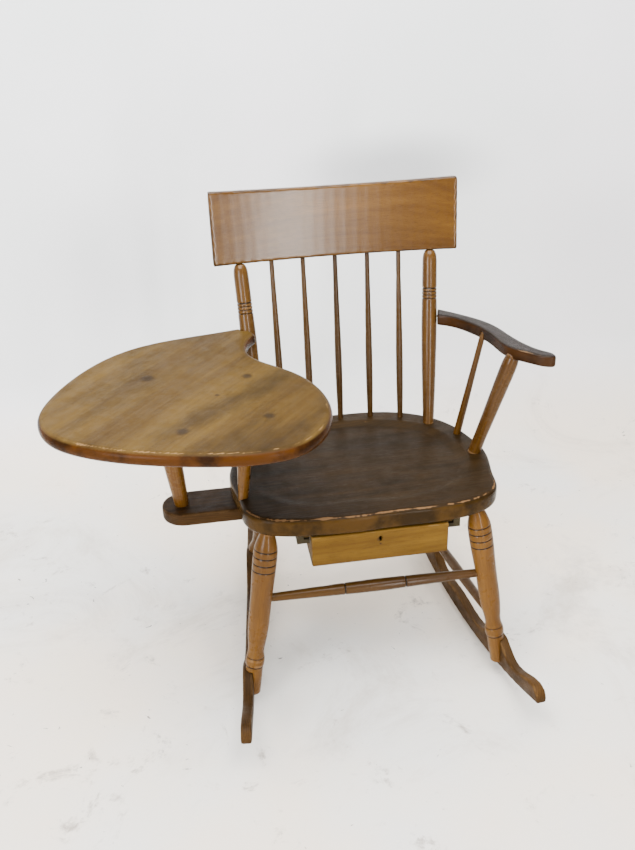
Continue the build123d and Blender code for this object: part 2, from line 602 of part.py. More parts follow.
def build_tablet():
    """The tablet laps onto its stile and stands on two posts and a thin spindle."""
    parts["writing_tablet"] = largest(plain_tablet() - parts["back_stile_tablet_side"])
    parts["tablet_outrigger"] = outrigger()
    under = TABLET_TOP - TABLET_THICK
    hosts = ("seat_plank", "writing_tablet")
    inner = on_seat(*TABLET_POST_INNER_BASE), (*TABLET_POST_INNER_TOP, under)
    fit_turned("tablet_post_inner", inner, INNER_POST_WIDTHS, POST_TENONS, hosts)
    (base_x, base_y), (top_x, top_y) = ARM_SPINDLE_BASE, ARM_SPINDLE_TOP
    spindle = on_seat(-base_x, base_y), (-top_x, top_y, under)
    fit_turned("tablet_spindle", spindle, ARM_SPINDLE_WIDTHS, THIN_TENONS, hosts)
    outer = on_seat(*TABLET_POST_OUTER_BASE, SEAT_THICK), (*TABLET_POST_OUTER_TOP, under)
    hosts = ("tablet_outrigger", "writing_tablet")
    fit_turned("tablet_post_outer", outer, OUTER_POST_WIDTHS, POST_TENONS, hosts)
    start = Vector(*TABLET_SCREW_HEAD, TABLET_TOP - TABLET_THICK / 2)
    screw = (start, stile_middle(TABLET, start.Z) - start, *TABLET_SCREW)
    fix_with_screws("tablet_screw", [screw], "writing_tablet", "back_stile_tablet_side")
    screws = [
        (on_seat(x, OUTRIGGER_Y + y, SEAT_THICK + OUTRIGGER_THICK), UP, *OUTRIGGER_SCREW)
        for x in OUTRIGGER_SCREW_X for y in OUTRIGGER_SCREW_Y
    ]
    fix_with_screws("outrigger_screws", screws, "tablet_outrigger", "seat_plank")


def stile_middle(side, level):
    base, top = stile_ends(side)
    return between(base, top, (level - base[2]) / (top[2] - base[2]))


def build_undercarriage():
    """Legs lapped to rockers and tied by stretchers."""
    pins = []
    for side, label in SIDES:
        parts[f"rocker_{label}"] = rocker(side)
        for rear, end in ((False, "front"), (True, "rear")):
            body, pegs = leg(side, rear)
            hosts = [parts["seat_plank"], parts[f"rocker_{label}"]]
            parts[f"{end}_leg_{label}"] = fitted(body, pegs, hosts)
            cut("seat_plank", socket_for(*leg_line(side, rear), LEG_TENONS, 0))
            pins += lap_pins(side, rear)
    for name, start, end, widths, hosts in stretcher_plan():
        inset = (Vector(end) - Vector(start)).normalized() * STRETCHER_INSET
        ends = Vector(start) + inset, Vector(end) - inset
        grooves = STRETCHER_GROOVES if widths is FRONT_STRETCHER_WIDTHS else ()
        fit_turned(name, ends, widths, STRETCHER_TENONS, hosts, grooves)
    hosts = [f"{piece}_{label}" for _, label in SIDES for piece in ("rocker", "front_leg", "rear_leg")]
    fix_with_screws("rocker_screws", pins, *hosts)


def stretcher_plan():
    """Name, ends on the legs' axes, widths and hosts of every stretcher."""
    across = (
        ("front", between(*leg_line(ARM, False), FRONT_STRETCHER_AT), FRONT_STRETCHER_WIDTHS),
        ("rear", leg_at_height(ARM, True, REAR_STRETCHER_Z), PLAIN_STRETCHER_WIDTHS),
    )
    for end, right, widths in across:
        left = (-right.X, right.Y, right.Z)
        yield f"{end}_stretcher", left, right, widths, [f"{end}_leg_{label}" for _, label in SIDES]
    for side, label in SIDES:
        front = between(*leg_line(side, False), SIDE_STRETCHER_AT)
        rear = leg_at_height(side, True, SIDE_STRETCHER_REAR_Z)
        hosts = [f"front_leg_{label}", f"rear_leg_{label}"]
        yield f"side_stretcher_{label}", front, rear, PLAIN_STRETCHER_WIDTHS, hosts


def lap_pins(side, rear):
    """Two screws through a rocker into the cheek of a leg, one above the other."""
    outwards = Vector(side, 0, 0).rotate(Axis.Z, toe_in(side))
    foot = Vector(*(REAR_LEG_FOOT if rear else FRONT_LEG_FOOT))
    for z in PIN_HEIGHTS:
        face = Vector(foot.X * side, foot.Y, z) + outwards * (LAP_OFFSET + ROCKER_THICK)
        yield face, -outwards, *LAP_PIN


def build_drawer():
    """The drawer, its lock and its guides, hung under the seat."""
    place = SEAT * Pos(DRAWER_MID_X, 0)
    parts["drawer_front"] = place * drawer_front()
    parts["drawer_back"] = place * drawer_back()
    parts["drawer_bottom"] = place * drawer_bottom()
    guide_screws = []
    for side, label in SIDES:
        parts[f"drawer_side_{label}"] = place * drawer_side(side)
        parts[f"drawer_runner_{label}"] = place * drawer_runner(side)
        parts[f"drawer_guide_{label}"] = place * drawer_guide(side)
        for y in GUIDE_SCREW_Y:
            head = on_seat(DRAWER_MID_X + side * GUIDE_SCREW_X, y, SEAT_THICK + GUIDE_HIGH)
            guide_screws.append((head, UP, *GUIDE_SCREW))
    guides = [f"drawer_guide_{label}" for _, label in SIDES]
    fix_with_screws("guide_screws", guide_screws, "seat_plank", *guides)
    parts["lock_case"] = place * lock_case()
    parts["lock_bolt"] = place * lock_bolt()
    cut("seat_plank", place * strike_mortise())
    lock_screws = [
        (on_seat(DRAWER_MID_X + x, LOCK_FACE_Y + LOCK_DEEP, -LUG_MID_Z), (0, -1, 0), *LOCK_SCREW)
        for x in LOCK_SCREW_X
    ]
    fix_with_screws("lock_screws", lock_screws, "lock_case", "drawer_front")


parts["seat_plank"] = plain_seat()
parts["crest_rail"] = plain_crest()
build_back()
build_arm()
build_tablet()
build_undercarriage()
build_drawer()

whole = Compound([piece for shape in parts.values() for piece in shape.solids()]).bounding_box()
to_origin = Pos(-whole.center().X, -whole.center().Y, -whole.min.Z)
os.makedirs("parts", exist_ok=True)
for name, shape in parts.items():
    export_step(to_origin * shape, f"parts/{name}.step")
print("origin shift", to_origin.position)
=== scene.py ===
import json
import math

import bmesh
import bpy
import numpy as np
from mathutils import Matrix, Vector, noise


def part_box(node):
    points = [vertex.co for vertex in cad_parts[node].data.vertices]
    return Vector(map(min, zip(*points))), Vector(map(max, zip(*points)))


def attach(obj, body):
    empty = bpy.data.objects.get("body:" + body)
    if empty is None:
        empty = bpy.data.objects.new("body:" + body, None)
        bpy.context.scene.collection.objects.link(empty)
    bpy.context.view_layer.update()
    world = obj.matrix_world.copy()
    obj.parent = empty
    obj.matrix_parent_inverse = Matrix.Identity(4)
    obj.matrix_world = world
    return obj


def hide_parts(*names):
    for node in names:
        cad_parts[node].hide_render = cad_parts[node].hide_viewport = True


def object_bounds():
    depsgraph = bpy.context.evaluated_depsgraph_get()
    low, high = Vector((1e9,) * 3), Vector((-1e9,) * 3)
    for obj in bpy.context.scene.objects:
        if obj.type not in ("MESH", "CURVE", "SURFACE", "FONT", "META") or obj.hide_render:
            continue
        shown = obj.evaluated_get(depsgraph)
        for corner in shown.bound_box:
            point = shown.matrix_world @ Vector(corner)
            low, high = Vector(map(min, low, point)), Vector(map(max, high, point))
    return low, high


# A worn tablet-arm rocking chair.  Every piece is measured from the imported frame: turned pieces are
# turned again on a fine lathe mesh, shaped boards are remeshed finely and then worn, and the plain
# boards and fasteners keep their CAD meshes.

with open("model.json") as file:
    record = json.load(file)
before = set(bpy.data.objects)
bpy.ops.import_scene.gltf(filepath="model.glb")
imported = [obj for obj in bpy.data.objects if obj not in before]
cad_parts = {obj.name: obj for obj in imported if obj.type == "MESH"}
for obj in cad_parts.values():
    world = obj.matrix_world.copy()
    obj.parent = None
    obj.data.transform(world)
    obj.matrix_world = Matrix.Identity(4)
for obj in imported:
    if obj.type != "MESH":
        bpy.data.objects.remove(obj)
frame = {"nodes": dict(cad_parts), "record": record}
CAD_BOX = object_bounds()
NODES = frame["nodes"]
BODY_OF = {n: body for body, names in frame["record"]["behaviour"]["bodies"].items() for n in names}
SLOT_OF = {part["node"]: part["material_slot"] for part in frame["record"]["subparts"]}
SCENE = bpy.context.scene
MM = 0.001

SIDES = ("arm_side", "tablet_side")
SPINDLES = [f"back_spindle_{i}" for i in range(1, 6)]
STILES = [f"back_stile_{side}" for side in SIDES]
LEGS = {f"{end}_leg_{side}": f"rocker_{side}" for end in ("front", "rear") for side in SIDES}
UPPER_HOSTS = {
    # turned piece: the board that its upper end enters
    **{node: "crest_rail" for node in (*STILES, *SPINDLES)},
    **{node: "seat_plank" for node in LEGS},
}


# ---------------------------------------------------------------- camera and studio

SENSOR, LENS = 36.0, 40.121
CAMERA_FROM_SEAT = Vector((-0.3066, -1.3824, 1.3539))
CAMERA_YAW, CAMERA_DOWN, CAMERA_ROLL = 0.143012, 0.492628, -0.029899

SWEEP_HALF, SWEEP_FRONT, SWEEP_TOP = 3.4, -3.2, 3.6
WALL_Y, WALL_RADIUS = 0.80, 0.26
BEHIND_DROP = 2 * MM                     # the floor behind the wall lies this far below the sweep's
SKY_LIGHT, SKY_SEEN = 0.30, 2.4          # the world's strength as a light, and as the camera sees it
STUDIO_MIDDLE = Vector((0, 0.2, 0.55))   # from under the seat's front edge
LIGHTS = {
    # name: (place and aim from the studio's middle, size, power, colour)
    "ceiling": ((-0.3, -0.9, 2.4), (0, 0, 0), (2.6, 1.8), 230, (1.0, 0.99, 0.97)),
    "window_left": ((-1.9, -2.0, 0.55), (0, 0, 0), (0.9, 1.3), 95, (0.97, 0.98, 1.0)),
    "window_right": ((0.55, -2.3, 0.20), (0, 0, 0), (0.20, 1.2), 42, (1.0, 0.98, 0.95)),
    "wall_wash": ((0, 0.1, 2.6), (0, 1.0, 0.6), (4.0, 0.5), 60, (0.98, 0.99, 1.0)),
}


def seat_front():
    """The point of the floor under the middle of the seat's front edge."""
    low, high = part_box("seat_plank")
    return Vector(((low.x + high.x) / 2, low.y, CAD_BOX[0].z))


def make_camera():
    yaw, down = CAMERA_YAW, CAMERA_DOWN
    forward = Vector((math.sin(yaw) * math.cos(down), math.cos(yaw) * math.cos(down), -math.sin(down)))
    right = Vector((math.cos(yaw), -math.sin(yaw), 0))
    up = right.cross(forward)
    roll = CAMERA_ROLL
    across = math.cos(roll) * right + math.sin(roll) * up
    axes = Matrix((across, across.cross(forward), -forward)).transposed()
    data = bpy.data.cameras.new("camera")
    data.sensor_width = SENSOR
    data.lens = LENS
    data.clip_end = 50
    camera = bpy.data.objects.new("camera", data)
    camera.matrix_world = Matrix.Translation(seat_front() + CAMERA_FROM_SEAT) @ axes.to_4x4()
    SCENE.collection.objects.link(camera)
    SCENE.camera = camera


def area_light(name, place, aim, size, power, colour):
    data = bpy.data.lights.new(name, "AREA")
    data.shape = "RECTANGLE"
    data.size, data.size_y = size
    data.energy = power
    data.color = colour
    lamp = bpy.data.objects.new(name, data)
    lamp.visible_camera = False
    turn = (aim - place).to_track_quat("-Z", "Y").to_matrix().to_4x4()
    lamp.matrix_world = Matrix.Translation(place) @ turn
    SCENE.collection.objects.link(lamp)


def make_studio():
    """A pale sweep with more floor behind its wall, a ceiling light and two low windows in front."""
    section = [(SWEEP_FRONT, 0.0), (WALL_Y - WALL_RADIUS, 0.0)]
    for angle in range(6, 90, 6):
        turn = math.radians(angle)
        y = WALL_Y - WALL_RADIUS * (1 - math.sin(turn))
        section.append((y, WALL_RADIUS * (1 - math.cos(turn))))
    section += [(WALL_Y, WALL_RADIUS), (WALL_Y, SWEEP_TOP)]
    strips = len(section) - 1
    section += [(WALL_Y - WALL_RADIUS, -BEHIND_DROP), (WALL_Y + SWEEP_HALF, -BEHIND_DROP)]
    points = [(x, y, z + CAD_BOX[0].z) for y, z in section for x in (-SWEEP_HALF, SWEEP_HALF)]
    starts = [2 * strip for strip in range(strips)] + [len(points) - 4]
    mesh = bpy.data.meshes.new("studio_sweep")
    mesh.from_pydata(points, [], [(i, i + 1, i + 3, i + 2) for i in starts])
    for face in mesh.polygons:
        face.use_smooth = True
    sweep = bpy.data.objects.new("studio_sweep", mesh)
    sweep.data.materials.append(sweep_paint())
    SCENE.collection.objects.link(sweep)
    middle = seat_front() + STUDIO_MIDDLE
    for name, (place, aim, size, power, colour) in LIGHTS.items():
        area_light(name, middle + Vector(place), middle + Vector(aim), size, power, colour)
    world = bpy.data.worlds.new("world")
    world.use_nodes = True
    nodes, links = world.node_tree.nodes, world.node_tree.links
    sky = nodes["Background"]
    sky.inputs["Color"].default_value = (0.95, 0.97, 1.0, 1)
    strength = nodes.new("ShaderNodeMapRange")
    strength.inputs["To Min"].default_value = SKY_LIGHT
    strength.inputs["To Max"].default_value = SKY_SEEN
    links.new(nodes.new("ShaderNodeLightPath").outputs["Is Camera Ray"], strength.inputs["Value"])
    links.new(strength.outputs["Result"], sky.inputs["Strength"])
    SCENE.world = world


# ---------------------------------------------------------------- shader helper

class Shader:
    """A material's node tree, with short calls to add and join nodes."""

    def __init__(self, name):
        self.material = bpy.data.materials.new(name)
        self.material.use_nodes = True
        self.tree = self.material.node_tree
        self.surface = self.tree.nodes["Principled BSDF"]

    def add(self, kind, inputs=(), **settings):
        """A node of that kind; inputs maps sockets, by name or number, to values or outputs."""
        node = self.tree.nodes.new("ShaderNode" + kind)
        for key, value in settings.items():
            setattr(node, key, value)
        for key, value in dict(inputs).items():
            self.join(value, node.inputs[key])
        return node

    def join(self, value, socket):
        if isinstance(value, bpy.types.NodeSocket):
            self.tree.links.new(value, socket)
        else:
            socket.default_value = value

    def maths(self, operation, *values):
        node = self.add("Math", enumerate(values), operation=operation)
        return node.outputs[0]

    def vector(self, operation, first, second, scale=None):
        """Vector maths on two vectors, or on one vector and a number."""
        inputs = {0: first, "Scale": scale} if second is None else {0: first, 1: second}
        return self.add("VectorMath", inputs, operation=operation).outputs[0]

    def noise(self, vector, scale=1.0, detail=2.0, rough=0.5, distortion=0.0):
        values = {"Vector": vector, "Scale": scale, "Detail": detail, "Roughness": rough}
        values["Distortion"] = distortion
        return self.add("TexNoise", values).outputs["Fac"]

    def ramp(self, value, low, high):
        """0 below low, 1 above high, smooth between."""
        node = self.add("MapRange", {"Value": value, "From Min": low, "From Max": high})
        node.interpolation_type = "SMOOTHSTEP"
        return node.outputs["Result"]

    def mix(self, amount, first, second):
        node = self.add("Mix", data_type="RGBA")
        self.join(amount, node.inputs["Factor"])
        self.join(rgba(first), node.inputs["A"])
        self.join(rgba(second), node.inputs["B"])
        return node.outputs["Result"]

    def scalar_mix(self, amount, first, second):
        node = self.add("Mix", data_type="FLOAT")
        self.join(amount, node.inputs[0])
        self.join(first, node.inputs[2])
        self.join(second, node.inputs[3])
        return node.outputs[0]

    def attribute(self, name, output="Fac"):
        return self.add("Attribute", attribute_name=name).outputs[output]

    def bump(self, height, distance):
        values = {"Height": height, "Distance": distance, "Strength": 1.0}
        return self.add("Bump", values).outputs["Normal"]

    def finish(self, colour, roughness, normal, **constants):
        self.join(rgba(colour), self.surface.inputs["Base Color"])
        self.join(roughness, self.surface.inputs["Roughness"])
        self.tree.links.new(normal, self.surface.inputs["Normal"])
        for name, value in constants.items():
            self.surface.inputs[name.replace("_", " ").title()].default_value = value
        return self.material


def rgba(value):
    return (*value, 1.0) if isinstance(value, tuple) and len(value) == 3 else value


# colour of the painted shadows on the wall
PAINTED_SHADOW_COLOUR = (0.30, 0.31, 0.33)
PAINTED_WALL_SHADOWS = (
    # painted shadows that the chair would throw on the wall: across and up from under the seat's front
    # edge, half width and half height, strength
    ((0.26, 0.77), (0.34, 0.13), 0.62),
    ((-0.46, 0.58), (0.34, 0.26), 0.25),
    ((0.86, 0.50), (0.36, 0.30), 0.16),
)


def sweep_paint():
    """Matt pale paint, cloudy, with painted shadows of the chair on the wall and scuffs and dark specks on
    the floor; clear when seen from behind.
    """
    s = Shader("studio_sweep")
    where = s.add("TexCoord").outputs["Object"]
    height = s.add("SeparateXYZ", {0: where}).outputs["Z"]
    floor = s.maths("SUBTRACT", 1.0, s.ramp(height, 0.0, 0.25))
    clouds = s.ramp(s.noise(where, 1.6, 4.0), 0.38, 0.66)
    wall = s.mix(clouds, (0.87, 0.87, 0.91), (0.80, 0.83, 0.85))
    # painted shadow: soft dark patches on the wall where the chair's shadow would fall, darkest at their
    # middles
    for (across, up), (wide, high), share in PAINTED_WALL_SHADOWS:
        away = s.vector("SUBTRACT", where, (seat_front().x + across, 0, CAD_BOX[0].z + up))
        away = s.vector("MULTIPLY", away, (1 / wide, 0, 1 / high))
        reach = s.add("VectorMath", {0: away}, operation="LENGTH").outputs["Value"]
        shadow_share = s.maths("SUBTRACT", 1.0, s.ramp(reach, 0.15, 1.0))
        wall = s.mix(s.maths("MULTIPLY", shadow_share, share), wall, PAINTED_SHADOW_COLOUR)
    colour = s.mix(floor, wall, s.mix(clouds, (0.82, 0.72, 0.60), (0.74, 0.725, 0.69)))
    dirt = s.ramp(s.noise(where, 2.6, 9.0, 0.74, 0.8), 0.50, 0.74)
    scuffs = s.ramp(s.noise(where, 7.0, 8.0, 0.72, 1.2), 0.56, 0.70)
    scuffs = s.maths("MULTIPLY", scuffs, s.ramp(s.noise(where, 34.0, 5.0, 0.7), 0.44, 0.60))
    specks = s.ramp(s.noise(where, 26.0, 3.0, 0.75, 1.5), 0.69, 0.74)
    marks = (
        (dirt, 0.60, (0.40, 0.34, 0.28)),
        (scuffs, 0.75, (0.22, 0.18, 0.15)),
        (specks, 0.85, (0.10, 0.09, 0.075)),
    )
    for shape, strength, dark in marks:
        share = s.maths("MULTIPLY", s.maths("MULTIPLY", shape, strength), floor)
        colour = s.mix(share, colour, dark)
    paint = s.finish(colour, 0.62, s.bump(s.noise(where, 60.0), 0.0004))
    back = s.add("NewGeometry").outputs["Backfacing"]
    clear = s.add("BsdfTransparent").outputs["BSDF"]
    seen = s.add("MixShader", {0: back, 1: s.surface.outputs["BSDF"], 2: clear}).outputs["Shader"]
    s.join(seen, s.tree.nodes["Material Output"].inputs["Surface"])
    return paint


# ---------------------------------------------------------------- wood

def wood(name, dark, light, **look):
    """A finished board or turning.

    dark and light are the late and early wood under the finish.  The vector that the grain follows
    has its z along the fibres.  look may override any value of the defaults below.
    """
    o = {
        "grain": "grain", "rings": 80.0, "ring_share": 0.30, "streak": 26.0, "pores": 0.35,
        "stain": (0.014, 0.006, 0.003), "stain_share": 0.35, "stain_scale": 9.0, "stain_stretch": 0.4,
        "bare": (0.26, 0.15, 0.07), "wear": 0.5, "grime": (0.010, 0.006, 0.003),
        "flank": None, "knots": (), "rough": (0.28, 0.46), "coat": 0.25, "bump": 0.25, "speck": 0.25,
        "shine": 0.18,
    }
    o.update(look)
    s = Shader(name)
    if isinstance(o["grain"], str):
        where = s.attribute(o["grain"], "Vector")
    else:
        placed = s.add("TexCoord").outputs["Object"]
        where = s.add("Mapping", {"Vector": placed, "Rotation": o["grain"]}).outputs["Vector"]
    stretched = s.vector("MULTIPLY", where, (1.0, 1.0, 0.07))
    waver = s.noise(s.vector("MULTIPLY", where, (5.0, 5.0, 1.6)), 1.0, 2.0)
    sideways = s.add("CombineXYZ", {0: s.maths("MULTIPLY", waver, 0.045)}).outputs[0]
    bent = s.vector("ADD", stretched, sideways)
    rings = s.add("TexWave", {
        "Vector": s.vector("ADD", bent, (0.085, 0.03, 0)), "Scale": o["rings"], "Distortion": 2.2,
        "Detail": 2.0, "Detail Scale": 1.2,
    }, wave_type="RINGS", rings_direction="Z", wave_profile="SIN").outputs["Fac"]
    streaks = s.noise(s.vector("MULTIPLY", bent, (1.0, 1.0, 0.6)), o["streak"], 6.0, 0.62)
    figure = s.scalar_mix(o["ring_share"], s.ramp(streaks, 0.28, 0.72), rings)
    fibres = s.noise(s.vector("MULTIPLY", where, (1.0, 1.0, 0.035)), 900.0, 2.0, 0.6)
    pores = s.ramp(fibres, 0.50, 0.66)
    colour = s.mix(figure, light, dark)
    colour = s.mix(s.maths("MULTIPLY", pores, o["pores"]), colour, o["stain"])
    blots = s.noise(s.vector("MULTIPLY", where, (1.0, 1.0, o["stain_stretch"])), o["stain_scale"], 5.0, 0.6)
    colour = s.mix(s.maths("MULTIPLY", s.ramp(blots, 0.40, 0.70), o["stain_share"]), colour, o["stain"])
    specks = s.ramp(s.noise(where, 260.0, 2.0, 0.6), 0.62, 0.74)
    colour = s.mix(s.maths("MULTIPLY", specks, o["speck"]), colour, o["grime"])
    for place, size in o["knots"]:
        colour = knot(s, colour, place, size, o["grime"])
    low, high = o["rough"]
    rub = s.ramp(s.noise(where, 34.0, 5.0, 0.65), 0.35, 0.7)
    roughness = s.scalar_mix(rub, low, high)
    if o["flank"]:
        side = s.attribute("flank")
        shade = s.ramp(s.noise(where, 16.0, 4.0, 0.6), 0.40, 0.66)
        colour = s.mix(side, colour, s.mix(shade, o["flank"][0], o["flank"][1]))
        roughness = s.scalar_mix(side, roughness, 0.24)
    grit = s.maths("SUBTRACT", s.noise(where, 190.0, 4.0, 0.7), 0.5)
    ragged = s.maths("SUBTRACT", s.noise(where, 28.0, 3.0, 0.6), 0.5)
    level = s.maths("ADD", s.attribute("edge"), s.maths("ADD", grit, s.maths("MULTIPLY", ragged, 2.6)))
    worn = s.maths("MULTIPLY", s.ramp(level, 0.70, 0.95), o["wear"])
    colour = s.mix(worn, colour, o["bare"])
    colour = s.mix(s.ramp(s.attribute("grime"), 0.08, 0.75), colour, o["grime"])
    tone = s.maths("ADD", 1.0, s.attribute("tone"))
    colour = s.vector("SCALE", colour, None, tone)
    roughness = s.maths("ADD", roughness, s.maths("MULTIPLY", worn, 0.25))
    height = s.maths("ADD", s.maths("MULTIPLY", pores, -0.35), s.maths("MULTIPLY", figure, 0.25))
    height = s.maths("ADD", height, s.maths("MULTIPLY", s.noise(where, 120.0, 3.0), 0.5))
    normal = s.bump(height, o["bump"] * MM)
    s.surface.inputs["Specular IOR Level"].default_value = o["shine"]
    return s.finish(colour, roughness, normal, coat_weight=o["coat"], coat_roughness=0.16)


def knot(s, colour, place, size, dark):
    """A ragged dark knot, stretched along the grain, at a point given in the piece's own frame."""
    here = s.add("TexCoord").outputs["Object"]
    away = s.vector("SUBTRACT", here, tuple(place))
    cloud = s.add("TexNoise", {"Vector": here, "Scale": 130.0}).outputs["Color"]
    jitter = s.vector("SCALE", cloud, None, size)
    reach = s.add("VectorMath", {0: s.vector("ADD", away, jitter)}, operation="LENGTH").outputs["Value"]
    inside = s.maths("SUBTRACT", 1.0, s.ramp(reach, size * 0.7, size * 2.0))
    return s.mix(s.maths("MULTIPLY", inside, 0.75), colour, dark)


def metal(name, bright, dull, roughness):
    s = Shader(name)
    where = s.add("TexCoord").outputs["Object"]
    spots = s.ramp(s.noise(where, 420.0, 5.0, 0.65), 0.40, 0.62)
    colour = s.mix(spots, bright, dull)
    rough = s.scalar_mix(spots, roughness, roughness + 0.3)
    return s.finish(colour, rough, s.bump(s.noise(where, 1500.0, 3.0), 0.06 * MM), metallic=1.0)


ALONG_Y = (math.radians(90), 0.0, 0.0)    # turns a plain board's own Y to the fibres' direction


def make_materials():
    """One material for each of the record's material slots."""
    return {
        "seat_wood": wood(
            "seat_wood", (0.0082, 0.0042, 0.0010), (0.024, 0.0125, 0.0032), rings=60.0, streak=34.0,
            stain=(0.0045, 0.0025, 0.0008), stain_share=0.55, bare=(0.15, 0.080, 0.034), wear=0.70,
            flank=((0.041, 0.020, 0.0035), (0.015, 0.0080, 0.0020)), rough=(0.36, 0.52), coat=0.0,
            shine=0.05,
        ),
        "crest_wood": wood(
            "crest_wood", (0.060, 0.024, 0.0026), (0.112, 0.050, 0.0060), rings=42.0, ring_share=0.15,
            stain=(0.034, 0.013, 0.0018), stain_share=0.35, bare=(0.022, 0.010, 0.0025), wear=0.75,
            rough=(0.17, 0.28), coat=0.32, pores=0.35, shine=0.05,
        ),
        "tablet_wood": wood(
            "tablet_wood", (0.044, 0.023, 0.0048), (0.086, 0.050, 0.0110), rings=30.0, ring_share=0.10,
            stain=(0.017, 0.0100, 0.0034), stain_share=0.85, stain_scale=10.0, stain_stretch=0.34,
            bare=(0.19, 0.11, 0.045), wear=0.75, flank=((0.046, 0.016, 0.0025), (0.013, 0.005, 0.0014)),
            knots=tablet_knots(), rough=(0.40, 0.58), coat=0.0, speck=0.5, shine=0.04,
        ),
        "arm_wood": wood(
            "arm_wood", (0.0052, 0.0026, 0.0009), (0.0140, 0.0068, 0.0026), bare=(0.22, 0.13, 0.06),
            wear=0.6,
            flank=((0.034, 0.013, 0.0030), (0.012, 0.0050, 0.0016)), rough=(0.26, 0.40), coat=0.05,
            shine=0.07,
        ),
        "stile_wood": wood(
            "stile_wood", (0.046, 0.019, 0.0035), (0.112, 0.053, 0.0110), wear=0.4,
            rough=(0.22, 0.36), coat=0.20, shine=0.10,
        ),
        "post_wood": wood(
            "post_wood", (0.070, 0.026, 0.0030), (0.135, 0.060, 0.0080), wear=0.4,
            rough=(0.22, 0.36), coat=0.20, shine=0.08,
        ),
        "leg_wood": wood(
            "leg_wood", (0.076, 0.030, 0.0038), (0.145, 0.066, 0.0105), ring_share=0.12, stain_share=0.4,
            stain=(0.030, 0.012, 0.0030), wear=0.22, rough=(0.26, 0.42), coat=0.10, shine=0.08,
        ),
        "rocker_wood": wood(
            "rocker_wood", (0.025, 0.0112, 0.0030), (0.076, 0.036, 0.0088), stain=(0.011, 0.0055, 0.0018),
            stain_share=0.5, bare=(0.14, 0.078, 0.030), wear=0.3, rough=(0.40, 0.60), coat=0.0, shine=0.06,
        ),
        "drawer_front_wood": wood(
            "drawer_front_wood", (0.056, 0.025, 0.0020), (0.112, 0.058, 0.0058), rings=24.0,
            ring_share=0.16, stain=(0.030, 0.013, 0.0020), stain_share=0.55, bare=(0.16, 0.095, 0.030),
            knots=keyhole_rub(), wear=0.4, rough=(0.42, 0.58), coat=0.0, shine=0.08,
        ),
        "drawer_box_wood": wood(
            "drawer_box_wood", (0.060, 0.033, 0.0090), (0.105, 0.062, 0.0190), grain=ALONG_Y, rings=34.0,
            wear=0.0, rough=(0.55, 0.75), coat=0.0, shine=0.1,
        ),
        "guide_wood": wood(
            "guide_wood", (0.018, 0.0140, 0.0065), (0.040, 0.032, 0.0150), grain=ALONG_Y,
            wear=0.0, rough=(0.6, 0.8), coat=0.0, shine=0.1,
        ),
        "screw_steel": metal("screw_steel", (0.16, 0.15, 0.13), (0.05, 0.035, 0.025), 0.42),
        "lock_steel": metal("lock_steel", (0.14, 0.13, 0.12), (0.04, 0.03, 0.025), 0.40),
        "bolt_brass": metal("bolt_brass", (0.42, 0.28, 0.08), (0.15, 0.09, 0.03), 0.30),
    }


def keyhole_rub():
    """The dark, greasy spot round the keyhole, and the mark that a key has left under it."""
    low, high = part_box("drawer_front")
    hole = Vector(((low.x + high.x) / 2, low.y, high.z - 15 * MM))
    return [(hole, 3.5 * MM), (hole - Vector((0, 0, 12 * MM)), 1.6 * MM)]


def tablet_knots():
    """Places and radii of the knots in the tablet's top, as shares of its own box."""
    low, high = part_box("writing_tablet")
    size = high - low
    shares = ((0.497, 0.190, 8), (0.743, 0.552, 7), (0.786, 0.241, 7), (0.384, 0.608, 9), (0.62, 0.42, 3))
    return [(Vector((low.x + size.x * x, low.y + size.y * y, high.z)), r * MM) for x, y, r in shares]


# ---------------------------------------------------------------- mesh helpers

def mesh_points(mesh):
    points = np.empty(len(mesh.vertices) * 3)
    mesh.vertices.foreach_get("co", points)
    return points.reshape(-1, 3)


def cad_points(node):
    return mesh_points(NODES[node].data)


def mesh_normals(mesh):
    normals = np.empty(len(mesh.vertices) * 3)
    mesh.vertices.foreach_get("normal", normals)
    return normals.reshape(-1, 3)


def mesh_edges(mesh):
    edges = np.empty(len(mesh.edges) * 2, int)
    mesh.edges.foreach_get("vertices", edges)
    return edges.reshape(-1, 2)


def write_points(mesh, points):
    mesh.vertices.foreach_set("co", points.ravel())
    mesh.update()


def write_attribute(mesh, name, values):
    kind = "FLOAT_VECTOR" if values.ndim == 2 else "FLOAT"
    layer = mesh.attributes.new(name, kind, "POINT")
    layer.data.foreach_set("vector" if values.ndim == 2 else "value", values.astype(np.float32).ravel())


def smoothed(points, edges, passes, share=0.5):
    """Points after so many passes of moving each one towards the mean of its neighbours."""
    count = np.bincount(edges.ravel(), minlength=len(points))[:, None].clip(1)
    for _ in range(passes):
        total = np.zeros_like(points)
        for a, b in ((0, 1), (1, 0)):
            for axis in range(3):
                total[:, axis] += np.bincount(edges[:, a], points[edges[:, b], axis], len(points))
        points = points + share * (total / count - points)
    return points


def sharpness(mesh, reach, full):
    """0 on flat stretches to 1 on outer edges, looking reach passes around each point."""
    points, edges = mesh_points(mesh), mesh_edges(mesh)
    away = ((points - smoothed(points, edges, reach)) * mesh_normals(mesh)).sum(1)
    return np.clip(away / full, -1, 1)


def rough_field(points, scale, seed):
    """Smooth noise from -1 to 1 at each point."""
    shift = Vector((seed * 3.1, seed * 1.7, seed * 0.9))
    return np.array([noise.noise(Vector(p) * scale + shift) for p in points])


TONES = {
    # how much darker or lighter than its slot's wood a piece looks
    "arm_post": -0.45, "arm_spindle": -0.35, "front_stretcher": -0.60, "armrest": -0.25,
    "tablet_outrigger": -0.35,
    "rocker_tablet_side": -0.35, "rear_stretcher": -0.35, "side_stretcher_arm_side": -0.45,
    "side_stretcher_tablet_side": -0.45, "rear_leg_tablet_side": -0.30, "rear_leg_arm_side": -0.30,
    "front_leg_arm_side": 0.05, **{node: -0.48 for node in SPINDLES},
}


